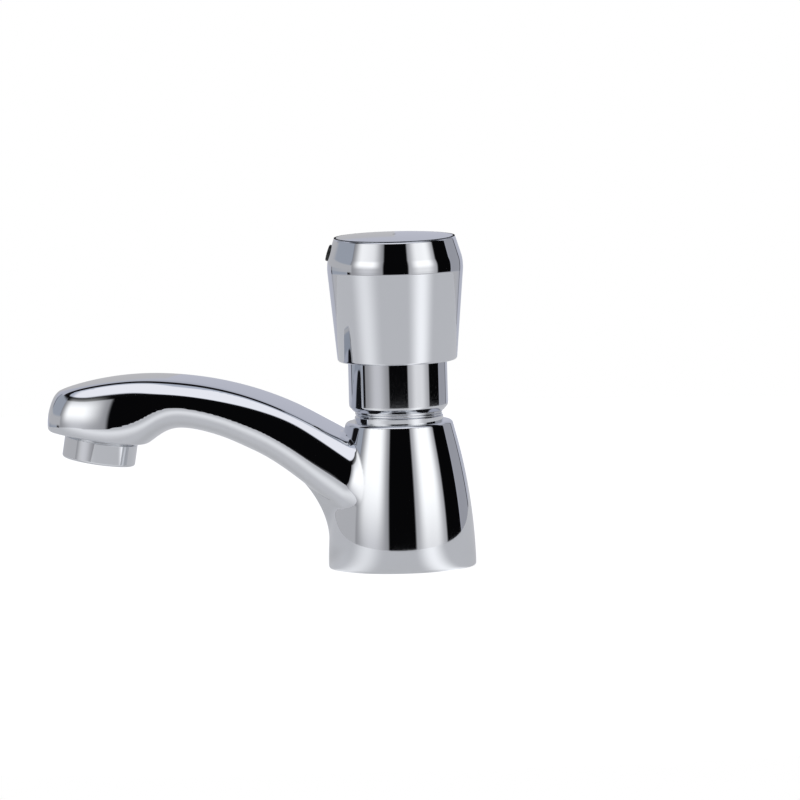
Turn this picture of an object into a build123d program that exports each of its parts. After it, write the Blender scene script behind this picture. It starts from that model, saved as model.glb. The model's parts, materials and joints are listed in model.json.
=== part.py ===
from build123d import *
import math
import os

# Push timed basin tap with a cast body and a plunger valve under a round push cap.
# Millimetres, +Z up, origin at the centre of the base on the deck plane, spout towards -X.

# Running and seating clearances
running_clearance = 0.05
seat_clearance = 0.1
press_clearance = 0.02
cut_overrun = 1.0

# Bell-shaped body of the casting
base_radius = 25.5
base_band_height = 5.0
flank_curve_height = 35.1
flank_curve_radius = 21.96
bell_top_height = 50.6
bell_top_radius = 18.3
bell_top_rounding = 1.2
base_rounding = 0.8
neck_radius = 15.3
neck_collar_height = 1.8
neck_thread_pitch = 1.3
neck_thread_depth = 0.6
neck_core_radius = 14.7

# Bores inside the casting
chamber_radius = 12.2
chamber_floor = 24.0
lower_chamber_radius = 9.2
shank_seat_height = 10.0
base_rim_width = 3.5
base_recess_radius = base_radius - base_rim_width
base_recess_depth = 2.5
waterway_radius = 4.8
waterway_start_height = 35.0
waterway_middle_height = 50.8
waterway_bend_reach = 77.0

# Spout arm: side view, in millimetres from the body's axis and above the deck
outlet_reach = 103.9
outlet_height = 46.1
outlet_tilt = 9.5
crest_reach = 87.0
crest_height = 67.05
arm_bend_reach = 51.2
arm_bend_height = 61.2
arm_root_reach = 27.0
arm_root_height = 50.3
nose_top_reach = 119.5
nose_top_height = 61.8
nose_mid_reach = 122.2
nose_mid_height = 58.6
nose_tip_reach = 123.9
nose_tip_height = 50.3
nose_lip_reach = 122.8
arm_inner_reach = 9.0
arm_inner_height = 41.5
outline_floor = 2.0
nose_corner_radius = 12.5
head_half_width = 17.6

# Spout arm: cross-sections as reach, underside height, crest height, top half-width and full half-width
head_end_reach = 127.0
arm_sections = [
    (arm_inner_reach, 6.0, arm_inner_height, 13.0, 17.0),
    (23.0, 13.5, 48.4, 15.6, 19.0),
    (28.5, 24.5, 51.1, 15.8, 18.6),
    (36.0, 32.6, 54.9, 14.8, 17.4),
    (46.0, 38.7, 59.2, 13.2, 16.2),
    (60.0, 45.3, 64.1, 12.1, 15.6),
    (74.0, 49.3, 66.4, 11.8, 15.5),
    (84.0, 46.2, crest_height, 12.4, 15.9),
    (93.0, 41.6, 66.9, 13.2, 16.9),
    (104.0, 39.8, 65.75, 13.9, head_half_width),
    (head_end_reach, 42.0, 59.2, 15.0, head_half_width),
]
widest_height_share = 0.47
shoulder_width_share = 0.72
shoulder_height_share = 0.14

# Inlet shank and what clamps the tap to its deck
deck_thickness = 18.0
shank_radius = 10.4
shank_bore_radius = 7.0
shank_below_deck = 50.0
shank_chamfer = 1.0
shank_relief_width = 1.2
shank_relief_depth = 0.5
shank_seal_height = 7.0
shank_seal_wire = 0.75
base_gasket_recess = 0.1
gasket_inner_radius = 11.0
rubber_washer_radius = 22.0
rubber_washer_thickness = 3.0
steel_washer_radius = 20.0
steel_washer_thickness = 1.5
lock_nut_across_flats = 30.0
lock_nut_height = 6.0
lock_nut_chamfer = 1.2
strainer_pocket_radius = 7.9
strainer_pocket_depth = 9.5
strainer_height = 7.0
strainer_wall = 0.5
strainer_hole_radius = 0.6
strainer_hole_rings = 3
strainer_hole_spacing = 1.8

# Seat and valve disc
seat_radius = 12.0
seat_bore_radius = 5.5
seat_gasket_thickness = 1.0
seat_thickness = 3.0
seat_spigot_radius = 8.4
seat_gasket_inner_radius = 8.6
disc_washer_radius = 6.6
disc_washer_thickness = 2.5
disc_holder_radius = 7.8
disc_holder_base = 2.0
disc_holder_rim = 1.5
disc_nut_across_flats = 7.0
disc_nut_height = 2.4
stem_tail = 0.8
stem_tail_radius = 2.0

# Stem
stem_radius = 3.0
stem_top_height = 107.0
clip_thickness = 0.8
clip_groove_depth = 0.7
clip_radius = 5.2
clip_opening = 3.6
clip_clearance = 0.05
clip_recess_depth = 1.0
clip_recess_radius = 5.7

# Valve housing (the cartridge's shell)
housing_radius = 12.0
housing_bore_radius = 9.5
housing_waist_radius = 10.9
waist_bottom = 31.0
waist_top = 39.2
window_bottom = 31.8
window_top = 38.4
window_width = 9.0
window_count = 4
partition_bottom = 40.0
partition_top = 44.2
neck_top_height = 64.0
housing_flange_radius = 14.1
housing_flange_thickness = 3.0
oring_wire = 0.98
oring_groove_half_width = 1.15
oring_groove_depth = 1.95
housing_seal_heights = [29.5, 42.1]
stem_seal_height = 42.1
stem_seal_wire = 0.9
stem_seal_groove_radius = 4.95

# Piston of the timing chamber
piston_radius = 9.2
piston_bottom = 57.0
piston_thickness = 5.0
piston_spigot_radius = 5.6
piston_spigot_length = 3.3
cup_thickness = 3.0
cup_lip_gap_depth = 1.6
cup_lip_gap_inner = 6.8
cup_lip_gap_outer = 8.4

# Guide bush that closes the timing chamber
bush_plug_radius = 9.4
bush_plug_bottom = 62.3
bush_head_radius = 12.0
bush_head_thickness = 3.0
bush_seal_height = 64.6
bush_seal_wire = 0.85
bush_seal_groove_radius = 7.7
bush_seal_groove_half_width = 0.95
timing_screw_offset = 5.6
timing_screw_radius = 1.3
timing_screw_tip_radius = 0.7
timing_screw_tip_length = 1.6
timing_screw_head_recess = 0.6
timing_screw_slot_width = 0.5
timing_screw_slot_depth = 0.7

# Bonnet sleeve
bonnet_radius = 17.1
bonnet_gap_above_bell = 3.7
bonnet_bottom = bell_top_height + bonnet_gap_above_bell
bonnet_top = 78.0
bonnet_lower_rounding = 1.5
bonnet_lower_rounding_height = 1.9
bonnet_thread_bore = 15.05
bonnet_clamp_radius = 12.4
bonnet_clamp_thickness = 3.0
bonnet_upper_bore = 14.6

# Return spring
spring_mean_radius = 8.6
spring_wire_radius = 0.8
spring_turns = 7
spring_end_gap = 0.1

# Push cap
cap_bottom = 71.6
cap_bottom_radius = 20.6
cap_bottom_rounding = 1.0
cap_widest_height = 103.4
cap_widest_radius = 23.5
cap_shoulder_height = 106.6
cap_shoulder_radius = 23.35
cap_edge_height = 114.4
cap_edge_radius = 20.95
cap_edge_rounding = 1.2
cap_shoulder_rounding = 12.0
cap_crown = 0.9
cap_wall = 2.4
cap_ceiling_height = 111.4
cap_hub_radius = 10.2
cap_hub_bottom = 96.0
cap_dot_radius = 0.5
cap_dot_depth = 1.5
wrench_hole_height = 109.0
plug_radius = 2.9
plug_counterbore_depth = 1.3
plug_proud = 0.8
plug_rounding = 0.35
set_screw_radius = 1.95
set_screw_length = 6.6
set_screw_tip_gap = 0.35
set_screw_tip_chamfer = 0.9
set_screw_socket_across_flats = 1.8
set_screw_socket_depth = 2.0

# Aerator, measured along its own tilted axis from the spout's outlet face
aerator_radius = 12.7
aerator_skirt = 7.4
aerator_gap = 0.9
aerator_edge_rounding = 0.7
aerator_thread_radius = 11.75
aerator_thread_length = 5.0
aerator_bore_radius = 10.4
aerator_lip_radius = 9.4
aerator_lip_thickness = 0.8
aerator_gasket_thickness = 1.5
aerator_gasket_inner_radius = 8.8
outlet_well_radius = 8.4
outlet_well_depth = 4.6
waterway_end_depth = 12.0
screen_thickness = 0.4
screen_hole_radius = 0.6
screen_hole_spacing = 1.9
screen_hole_rings = 4
insert_hole_radius = 0.9
insert_hole_spacing = 2.6
insert_hole_rings = 3
regulator_height = 3.3
regulator_hole_radius = 1.4
regulator_hole_circle = 5.0
regulator_hole_count = 6


def rod(radius, bottom, top):
    """Upright cylinder about Z between two heights."""
    return Pos(0, 0, bottom) * Cylinder(radius, top - bottom, align=(Align.CENTER, Align.CENTER, Align.MIN))


def ring(outer, inner, bottom, top):
    """Upright tube about Z between two heights."""
    return rod(outer, bottom, top) - rod(inner, bottom - cut_overrun, top + cut_overrun)


def seal_ring(inner_reach, wire_radius, height):
    """Round-section ring whose inner edge lies at inner_reach from Z."""
    return Pos(0, 0, height) * Torus(inner_reach + wire_radius, wire_radius)


def hexagon_bar(across_flats, bottom, top):
    """Upright hexagonal bar about Z."""
    outline = RegularPolygon(across_flats / 2, 6, major_radius=False)
    return Pos(0, 0, bottom) * extrude(outline, top - bottom)


def hole_rings(radius, spacing, rings, bottom, top):
    """A centre hole and rings of six more holes for each step outwards."""
    holes = [rod(radius, bottom, top)]
    for step in range(1, rings + 1):
        for index in range(6 * step):
            angle = 360 * index / (6 * step)
            holes.append(Rot(0, 0, angle) * Pos(step * spacing, 0, 0) * rod(radius, bottom, top))
    return holes


def rims(solid):
    """Full circular edges of a turned solid, from the lowest to the highest."""
    return solid.edges().filter_by(GeomType.CIRCLE).filter_by(lambda edge: edge.is_closed).sort_by(Axis.Z)


def side_face(*edges):
    """Face in the XZ plane from edges given there."""
    return make_face(Curve() + list(edges))


def bell():
    """Turned outside of the body with its curved flank, and the neck above it."""
    base_corner = (base_radius, 0, base_band_height)
    flank_end = (flank_curve_radius, 0, flank_curve_height)
    flank = TangentArc(base_corner, flank_end, tangent=(0, 0, 1))
    outline = [
        Polyline(
            flank_end,
            (bell_top_radius, 0, bell_top_height),
            (0, 0, bell_top_height),
            (0, 0, 0),
            (base_radius, 0, 0),
            base_corner,
        ),
        flank,
    ]
    solid = revolve(side_face(*outline), Axis.Z)
    solid = fillet(rims(solid)[-1], bell_top_rounding)
    return fillet(rims(solid)[0], base_rounding)


def neck():
    """Threaded neck: a plain collar, cut thread grooves and a core inside the bonnet."""
    collar_top = bell_top_height + neck_collar_height
    solid = rod(neck_core_radius, bell_top_height - cut_overrun, neck_top_height)
    solid += rod(neck_radius, bell_top_height - cut_overrun, collar_top)
    crest_flat = neck_thread_pitch / 4
    crest_count = int((neck_top_height - collar_top) / neck_thread_pitch)
    for index in range(crest_count):
        foot = collar_top + index * neck_thread_pitch
        inside_bonnet = foot + neck_thread_pitch > bonnet_bottom - neck_thread_pitch
        crest_radius = bonnet_thread_bore - running_clearance if inside_bonnet else neck_radius
        crest = Polyline(
            (neck_core_radius - neck_thread_depth, 0, foot),
            (neck_core_radius, 0, foot + crest_flat / 2),
            (crest_radius, 0, foot + neck_thread_pitch / 2 - crest_flat / 2),
            (crest_radius, 0, foot + neck_thread_pitch / 2 + crest_flat / 2),
            (neck_core_radius, 0, foot + neck_thread_pitch - crest_flat / 2),
            (neck_core_radius - neck_thread_depth, 0, foot + neck_thread_pitch),
            close=True,
        )
        solid += revolve(make_face(crest), Axis.Z)
    return solid


def arm_section(reach, underside, crest, top_half_width, half_width):
    """Cross-section of the arm: convex flanks and a rounded underside, open to above its crest."""
    rise = crest - underside
    lid_height = crest_height + cut_overrun
    shoulder = (shoulder_width_share * half_width, underside + shoulder_height_share * rise)
    widest = (half_width, underside + widest_height_share * rise)
    edge = (top_half_width, crest)
    lid = Polyline((-edge[0], edge[1]), (-edge[0], lid_height), (edge[0], lid_height), edge)
    right = ThreePointArc(edge, widest, shoulder)
    left = ThreePointArc((-shoulder[0], shoulder[1]), (-widest[0], widest[1]), (-edge[0], edge[1]))
    belly = ThreePointArc(shoulder, (0, underside), (-shoulder[0], shoulder[1]))
    station = Plane(origin=(-reach, 0, 0), x_dir=(0, 1, 0), z_dir=(1, 0, 0))
    return station * make_face(Curve() + [right, belly, left, lid])


def arm_side_outline():
    """Side view of the arm: crest, sloping nose and the tilted outlet face."""
    slope = math.tan(math.radians(outlet_tilt))
    lip_height = outlet_height + (nose_lip_reach - outlet_reach) * slope
    inner_outlet_height = outlet_height + (crest_reach - outlet_reach) * slope
    crest = Spline(
        (-nose_top_reach, 0, nose_top_height),
        (-crest_reach, 0, crest_height),
        (-arm_bend_reach, 0, arm_bend_height),
        (-arm_root_reach, 0, arm_root_height),
    )
    nose = ThreePointArc(
        (-nose_tip_reach, 0, nose_tip_height),
        (-nose_mid_reach, 0, nose_mid_height),
        (-nose_top_reach, 0, nose_top_height),
    )
    rest = Polyline(
        (-arm_root_reach, 0, arm_root_height),
        (-arm_inner_reach, 0, arm_inner_height),
        (-arm_inner_reach, 0, outline_floor),
        (-crest_reach, 0, outline_floor),
        (-crest_reach, 0, inner_outlet_height),
        (-nose_lip_reach, 0, lip_height),
        (-nose_tip_reach, 0, nose_tip_height),
    )
    return side_face(crest, nose, rest)


def arm_plan_outline():
    """Plan view of the arm: a long slab whose nose has rounded corners."""
    slab = Pos(-nose_tip_reach / 2, 0) * RectangleRounded(
        nose_tip_reach, 2 * head_half_width + cut_overrun, nose_corner_radius
    )
    root = Pos(-nose_tip_reach / 4, 0) * Rectangle(nose_tip_reach / 2, 2 * head_half_width + 2 * cut_overrun)
    return slab + root


def arm():
    """Solid spout arm, shaped by its sections, its side view and its plan."""
    body = loft([arm_section(*section) for section in arm_sections])
    side = extrude(arm_side_outline(), amount=2 * head_half_width, both=True)
    plan = extrude(arm_plan_outline(), crest_height + 2 * cut_overrun)
    return body & side & plan


outlet_frame = Plane(
    origin=(-outlet_reach, 0, outlet_height),
    x_dir=(math.cos(math.radians(outlet_tilt)), 0, -math.sin(math.radians(outlet_tilt))),
    z_dir=(math.sin(math.radians(outlet_tilt)), 0, math.cos(math.radians(outlet_tilt))),
)
outlet_socket_depth = aerator_thread_length + aerator_gasket_thickness


def waterway():
    """Curved passage from the valve chamber along the arm to the well above the aerator."""
    well_top = outlet_frame.from_local_coords((0, 0, waterway_end_depth))
    start = (-(chamber_radius - cut_overrun), 0, waterway_start_height)
    path = Spline(
        start,
        (-arm_bend_reach, 0, waterway_middle_height),
        (-waterway_bend_reach, 0, well_top.Z),
        (well_top.X, 0, well_top.Z),
    )
    section = Plane(origin=start, z_dir=path % 0) * Circle(waterway_radius)
    return sweep(section, path=path)


def spout_body():
    """Cast body: bell, neck and arm in one piece, bored for the valve, the inlet and the outlet."""
    shell = bell() + arm() + neck()
    shell -= rod(chamber_radius, chamber_floor, neck_top_height + cut_overrun)
    shell -= rod(lower_chamber_radius, shank_seat_height - cut_overrun, chamber_floor + cut_overrun)
    shell -= rod(shank_radius + running_clearance, -cut_overrun, shank_seat_height)
    shell -= rod(base_recess_radius, -cut_overrun, base_recess_depth)
    shell -= waterway()
    socket = rod(aerator_thread_radius + running_clearance, -aerator_skirt, outlet_socket_depth)
    socket += rod(outlet_well_radius, 0, outlet_socket_depth + outlet_well_depth)
    shell -= outlet_frame.location * socket
    return shell


def bonnet_sleeve():
    """Plated bonnet that screws on the neck and clamps the valve housing's flange."""
    clamp_bottom = neck_top_height + housing_flange_thickness
    outline = Polyline(
        (bonnet_thread_bore, 0, bonnet_bottom),
        (bonnet_radius - bonnet_lower_rounding, 0, bonnet_bottom),
        (bonnet_radius, 0, bonnet_bottom + bonnet_lower_rounding_height),
        (bonnet_radius, 0, bonnet_top),
        (bonnet_upper_bore, 0, bonnet_top),
        (bonnet_upper_bore, 0, clamp_bottom + bonnet_clamp_thickness),
        (bonnet_clamp_radius, 0, clamp_bottom + bonnet_clamp_thickness),
        (bonnet_clamp_radius, 0, clamp_bottom),
        (bonnet_thread_bore, 0, clamp_bottom),
        close=True,
    )
    return revolve(make_face(outline), Axis.Z)


def valve_housing():
    """Cartridge shell: windows below, a partition for the stem and the timing cylinder above."""
    seat_top = chamber_floor + seat_gasket_thickness + seat_thickness
    flange_top = neck_top_height + housing_flange_thickness
    shell = rod(housing_radius, seat_top, flange_top)
    shell += rod(housing_flange_radius, neck_top_height, flange_top)
    shell -= ring(housing_radius + cut_overrun, housing_waist_radius, waist_bottom, waist_top)
    shell -= rod(housing_bore_radius, seat_top - cut_overrun, partition_bottom)
    shell -= rod(housing_bore_radius, partition_top, flange_top + cut_overrun)
    shell -= rod(stem_radius + running_clearance, partition_bottom - cut_overrun, partition_top + cut_overrun)
    window_height = window_top - window_bottom
    window_middle = (window_top + window_bottom) / 2
    for index in range(window_count):
        angle = 360 * (index + 0.5) / window_count
        window = Pos(housing_bore_radius, 0, window_middle) * Box(
            housing_bore_radius, window_width, window_height
        )
        shell -= Rot(0, 0, angle) * window
    for height in housing_seal_heights:
        floor = chamber_radius - oring_groove_depth - press_clearance
        groove = ring(
            housing_radius + cut_overrun,
            floor,
            height - oring_groove_half_width,
            height + oring_groove_half_width,
        )
        shell -= groove
    stem_groove_bottom = stem_seal_height - stem_seal_wire - press_clearance
    stem_groove_top = stem_seal_height + stem_seal_wire + press_clearance
    return shell - rod(stem_seal_groove_radius, stem_groove_bottom, stem_groove_top)


def housing_orings():
    """The two rings that seal the housing in the body's chamber."""
    inner = chamber_radius - oring_groove_depth
    return [seal_ring(inner, oring_wire - press_clearance, height) for height in housing_seal_heights]


def stem_oring():
    """Ring in the partition that the stem slides through."""
    return seal_ring(stem_radius + running_clearance, stem_seal_wire, stem_seal_height)


def seat_gasket():
    """Flat gasket under the seat ring."""
    return ring(
        seat_radius, seat_gasket_inner_radius, chamber_floor, chamber_floor + seat_gasket_thickness
    )


def seat_ring():
    """Valve seat on the chamber floor, with a spigot down through its gasket."""
    gasket_top = chamber_floor + seat_gasket_thickness
    seat = rod(seat_radius, gasket_top, gasket_top + seat_thickness)
    seat += rod(seat_spigot_radius, chamber_floor, gasket_top)
    bore_top = gasket_top + seat_thickness + cut_overrun
    return seat - rod(seat_bore_radius, chamber_floor - cut_overrun, bore_top)


disc_washer_top = chamber_floor - seat_clearance
disc_washer_bottom = disc_washer_top - disc_washer_thickness
disc_holder_bottom = disc_washer_bottom - disc_holder_base
disc_nut_bottom = disc_holder_bottom - disc_nut_height
stem_bottom = disc_nut_bottom - stem_tail


def valve_disc_washer():
    """Rubber washer that closes upwards against the seat."""
    return ring(
        disc_washer_radius, stem_tail_radius + running_clearance, disc_washer_bottom, disc_washer_top
    )


def valve_disc_holder():
    """Brass cup that carries the washer."""
    cup = rod(disc_holder_radius, disc_holder_bottom, disc_washer_bottom + disc_holder_rim)
    cup -= rod(disc_washer_radius + running_clearance, disc_washer_bottom, disc_washer_top)
    return cup - rod(stem_tail_radius + running_clearance, disc_holder_bottom - cut_overrun, disc_washer_top)


def valve_disc_nut():
    """Nut on the stem's tail under the disc holder."""
    nut = hexagon_bar(disc_nut_across_flats, disc_nut_bottom, disc_holder_bottom)
    bore_top = disc_holder_bottom + cut_overrun
    return nut - rod(stem_tail_radius + running_clearance, disc_nut_bottom - cut_overrun, bore_top)


piston_top = piston_bottom + piston_thickness
piston_spigot_bottom = piston_bottom - piston_spigot_length
clip_heights = [
    piston_spigot_bottom - clip_thickness - clip_clearance,
    piston_top - clip_recess_depth + clip_clearance,
]


def stem():
    """Plated stem from the valve disc up into the push cap, with two clip grooves."""
    shaft = rod(stem_radius, disc_washer_top, stem_top_height)
    shaft += rod(stem_tail_radius, stem_bottom, disc_washer_top + cut_overrun)
    shaft = chamfer(shaft.edges().group_by(Axis.Z)[-1], clip_groove_depth)
    for height in clip_heights:
        shaft -= ring(
            stem_radius + cut_overrun,
            stem_radius - clip_groove_depth,
            height - clip_clearance / 2,
            height + clip_thickness + clip_clearance / 2,
        )
    return shaft


def piston():
    """Timing piston, turning freely on the stem, with a spigot for its cup seal."""
    body = rod(piston_radius, piston_bottom, piston_top)
    body += rod(piston_spigot_radius, piston_spigot_bottom, piston_bottom)
    body -= rod(clip_recess_radius, piston_top - clip_recess_depth, piston_top + cut_overrun)
    bore_bottom = piston_spigot_bottom - cut_overrun
    return body - rod(stem_radius + running_clearance, bore_bottom, piston_top + cut_overrun)


def piston_cup():
    """Cup seal around the spigot: closes on the way up and lets water past on the way down."""
    outer = housing_bore_radius - running_clearance
    cup = ring(outer, piston_spigot_radius + press_clearance, piston_bottom - cup_thickness, piston_bottom)
    lip_gap = ring(
        cup_lip_gap_outer,
        cup_lip_gap_inner,
        piston_bottom - cup_thickness - cut_overrun,
        piston_bottom - cup_thickness + cup_lip_gap_depth,
    )
    return cup - lip_gap


def piston_clips():
    """Two open clips on the stem: one under the piston's spigot, one in the recess on its top."""
    clips = []
    for height in clip_heights:
        inner = stem_radius - clip_groove_depth + press_clearance
        clip = ring(clip_radius, inner, height, height + clip_thickness)
        slot = Pos(clip_radius, 0, height + clip_thickness / 2) * Box(
            2 * clip_radius, clip_opening, 2 * clip_thickness
        )
        clips.append(clip - slot)
    return clips


bush_head_bottom = neck_top_height + housing_flange_thickness
bush_head_top = bush_head_bottom + bush_head_thickness


def guide_bush():
    """Bush that closes the timing cylinder, guides the stem and carries the return spring."""
    bush = rod(bush_plug_radius, bush_plug_bottom, bush_head_bottom)
    bush += rod(bush_head_radius, bush_head_bottom, bush_head_top)
    bush -= rod(stem_radius + running_clearance, bush_plug_bottom - cut_overrun, bush_head_top + cut_overrun)
    bush -= ring(
        bush_plug_radius + cut_overrun,
        bush_seal_groove_radius,
        bush_seal_height - bush_seal_groove_half_width,
        bush_seal_height + bush_seal_groove_half_width,
    )
    shoulder = bush_plug_bottom + timing_screw_tip_length
    hole = rod(timing_screw_radius + running_clearance, shoulder, bush_head_top + cut_overrun)
    hole += rod(timing_screw_tip_radius + running_clearance, bush_plug_bottom - cut_overrun, bush_head_bottom)
    return bush - Pos(timing_screw_offset, 0, 0) * hole


def bush_oring():
    """Ring that seals the bush in the housing's bore."""
    inner = housing_bore_radius - 2 * bush_seal_wire
    return seal_ring(inner - press_clearance, bush_seal_wire, bush_seal_height)


def timing_screw():
    """Slotted needle screw that sets how fast the timing chamber bleeds."""
    shoulder = bush_plug_bottom + timing_screw_tip_length
    head_top = bush_head_top - timing_screw_head_recess
    screw = rod(timing_screw_radius, shoulder, head_top)
    screw += rod(timing_screw_tip_radius, bush_plug_bottom, shoulder)
    slot = Pos(0, 0, head_top) * Box(
        3 * timing_screw_radius, timing_screw_slot_width, 2 * timing_screw_slot_depth
    )
    return Pos(timing_screw_offset, 0, 0) * (screw - slot)


def return_spring():
    """Coil spring around the stem, from the bush up to the cap's hub."""
    foot = bush_head_top + spring_wire_radius + spring_end_gap
    head = cap_hub_bottom - spring_wire_radius - spring_end_gap
    pitch = (head - foot) / spring_turns
    coil = Pos(0, 0, foot) * Helix(pitch, head - foot, spring_mean_radius)
    section = Plane(origin=coil @ 0, z_dir=coil % 0) * Circle(spring_wire_radius)
    return sweep(section, path=coil, is_frenet=True)


shoulder_slope = math.atan2(cap_shoulder_radius - cap_edge_radius, cap_edge_height - cap_shoulder_height)
wrench_hole_rise = wrench_hole_height - cap_shoulder_height
wrench_hole_reach = cap_shoulder_radius - wrench_hole_rise * math.tan(shoulder_slope)
wrench_hole_frame = Plane(
    origin=(-wrench_hole_reach, 0, wrench_hole_height),
    x_dir=(0, 1, 0),
    z_dir=(-math.cos(shoulder_slope), 0, math.sin(shoulder_slope)),
)
stem_depth_in_hole = (wrench_hole_reach - stem_radius) / math.cos(shoulder_slope)


def push_cap():
    """Plated push cap: a flared cup with a chamfered shoulder, a crown and a hub for the stem."""
    rim = (cap_bottom_radius, 0, cap_bottom)
    edge = (cap_edge_radius, 0, cap_edge_height)
    crown_top = cap_edge_height + cap_crown
    crown_middle_share = 0.5
    crown_middle = (
        cap_edge_radius * crown_middle_share,
        0,
        crown_top - cap_crown * crown_middle_share * crown_middle_share,
    )
    flank = Polyline(
        (0, 0, crown_top),
        (0, 0, cap_bottom),
        rim,
        (cap_widest_radius, 0, cap_widest_height),
        (cap_shoulder_radius, 0, cap_shoulder_height),
        edge,
    )
    crown = ThreePointArc(edge, crown_middle, (0, 0, crown_top))
    cap = revolve(side_face(flank, crown), Axis.Z)
    cap = fillet(rims(cap)[1:3], cap_shoulder_rounding)
    cap = fillet(rims(cap)[-1], cap_edge_rounding)
    cap = fillet(rims(cap)[0], cap_bottom_rounding)
    cavity = Polyline(
        (0, 0, cap_bottom - cut_overrun),
        (cap_bottom_radius - cap_wall, 0, cap_bottom - cut_overrun),
        (cap_bottom_radius - cap_wall, 0, cap_bottom),
        (cap_widest_radius - cap_wall, 0, cap_widest_height),
        (cap_shoulder_radius - cap_wall, 0, cap_shoulder_height),
        (cap_edge_radius - cap_wall, 0, cap_ceiling_height),
        (0, 0, cap_ceiling_height),
        close=True,
    )
    cap -= revolve(make_face(cavity), Axis.Z)
    cap += rod(cap_hub_radius, cap_hub_bottom, cap_ceiling_height + cap_wall / 2)
    cap -= rod(stem_radius + press_clearance, cap_hub_bottom - cut_overrun, stem_top_height + seat_clearance)
    cap -= rod(cap_dot_radius, crown_top - cap_dot_depth, crown_top + cut_overrun)
    hole = rod(set_screw_radius + running_clearance, -stem_depth_in_hole, cut_overrun)
    hole += rod(plug_radius + press_clearance, -plug_counterbore_depth, cut_overrun)
    return cap - wrench_hole_frame.location * hole


def index_plug():
    """Dark round plug that covers the screw hole in the cap's shoulder."""
    plug = rod(plug_radius, -plug_counterbore_depth, plug_proud)
    plug = fillet(plug.edges().group_by(Axis.Z)[-1], plug_rounding)
    return wrench_hole_frame.location * plug


def cap_set_screw():
    """Socket set screw through the cap's hub against the stem."""
    tip = -stem_depth_in_hole + set_screw_tip_gap
    screw = rod(set_screw_radius, tip, tip + set_screw_length)
    screw = chamfer(screw.edges().group_by(Axis.Z)[0], set_screw_tip_chamfer)
    top = tip + set_screw_length
    socket = hexagon_bar(set_screw_socket_across_flats, top - set_screw_socket_depth, top + cut_overrun)
    return wrench_hole_frame.location * (screw - socket)


rubber_washer_bottom = -deck_thickness - rubber_washer_thickness
steel_washer_bottom = rubber_washer_bottom - steel_washer_thickness
lock_nut_bottom = steel_washer_bottom - lock_nut_height
strainer_foot = shank_seat_height - strainer_pocket_depth


def inlet_shank():
    """Threaded inlet tube screwed up into the body, with a groove for its seal."""
    shank = rod(shank_radius, -shank_below_deck, shank_seat_height)
    shank = chamfer(shank.edges().group_by(Axis.Z)[0], shank_chamfer)
    shank -= rod(shank_bore_radius, -shank_below_deck - cut_overrun, shank_seat_height + cut_overrun)
    shank -= rod(strainer_pocket_radius, strainer_foot, shank_seat_height + cut_overrun)
    relief = ring(
        shank_radius + cut_overrun,
        shank_radius - shank_relief_depth,
        lock_nut_bottom - shank_relief_width,
        lock_nut_bottom,
    )
    shank -= relief
    groove_floor = shank_radius + running_clearance - 2 * shank_seal_wire - press_clearance
    return shank - ring(
        shank_radius + cut_overrun,
        groove_floor,
        shank_seal_height - shank_seal_wire - seat_clearance,
        shank_seal_height + shank_seal_wire + seat_clearance,
    )


def shank_oring():
    """Ring that seals the shank in the body."""
    inner = shank_radius + running_clearance - 2 * shank_seal_wire
    return seal_ring(inner - press_clearance / 2, shank_seal_wire, shank_seal_height)


def inlet_strainer():
    """Thimble strainer on a step in the shank, with holes in its closed top."""
    radius = strainer_pocket_radius - seat_clearance
    top = strainer_foot + strainer_height
    thimble = rod(radius, strainer_foot, top)
    thimble -= rod(radius - strainer_wall, strainer_foot - cut_overrun, top - strainer_wall)
    overrun_top = top + cut_overrun
    for hole in hole_rings(
        strainer_hole_radius, strainer_hole_spacing, strainer_hole_rings, strainer_foot, overrun_top
    ):
        thimble -= hole
    return thimble


def base_gasket():
    """Soft gasket in the recess under the base."""
    return ring(
        base_recess_radius - seat_clearance, gasket_inner_radius, base_gasket_recess, base_recess_depth
    )


def deck_rubber_washer():
    """Rubber washer under the deck."""
    return ring(rubber_washer_radius, gasket_inner_radius, rubber_washer_bottom, -deck_thickness)


def deck_steel_washer():
    """Steel washer between the rubber washer and the lock nut."""
    return ring(steel_washer_radius, gasket_inner_radius, steel_washer_bottom, rubber_washer_bottom)


def lock_nut():
    """Hexagon lock nut on the shank, chamfered on its lower corners."""
    nut = hexagon_bar(lock_nut_across_flats, lock_nut_bottom, steel_washer_bottom)
    corner_radius = lock_nut_across_flats / math.sqrt(3)
    turned = Pos(0, 0, lock_nut_bottom) * Cylinder(
        corner_radius, lock_nut_height, align=(Align.CENTER, Align.CENTER, Align.MIN)
    )
    turned = chamfer(turned.edges().group_by(Axis.Z)[0], lock_nut_chamfer)
    nut = nut & turned
    bore_bottom = lock_nut_bottom - cut_overrun
    return nut - rod(shank_radius + running_clearance, bore_bottom, steel_washer_bottom + cut_overrun)


skirt_bottom = -aerator_gap - aerator_skirt
screen_bottom = skirt_bottom + aerator_lip_thickness
insert_bottom = screen_bottom + screen_thickness
regulator_bottom = aerator_thread_length - regulator_height
insert_radius = aerator_bore_radius - running_clearance


def aerator_shell():
    """Plated aerator shell: threaded above, with a plain skirt and an inner lip below."""
    skirt = rod(aerator_radius, skirt_bottom, -aerator_gap)
    skirt = fillet(skirt.edges().group_by(Axis.Z)[0], aerator_edge_rounding)
    shell = skirt + rod(aerator_thread_radius, -aerator_gap - cut_overrun, aerator_thread_length)
    shell -= rod(aerator_bore_radius, screen_bottom, aerator_thread_length + cut_overrun)
    shell -= rod(aerator_lip_radius, skirt_bottom - cut_overrun, screen_bottom + cut_overrun)
    return outlet_frame.location * shell


def aerator_gasket():
    """Washer between the aerator and the end of its socket."""
    gasket = ring(
        aerator_thread_radius - running_clearance,
        aerator_gasket_inner_radius,
        aerator_thread_length,
        outlet_socket_depth,
    )
    return outlet_frame.location * gasket


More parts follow.
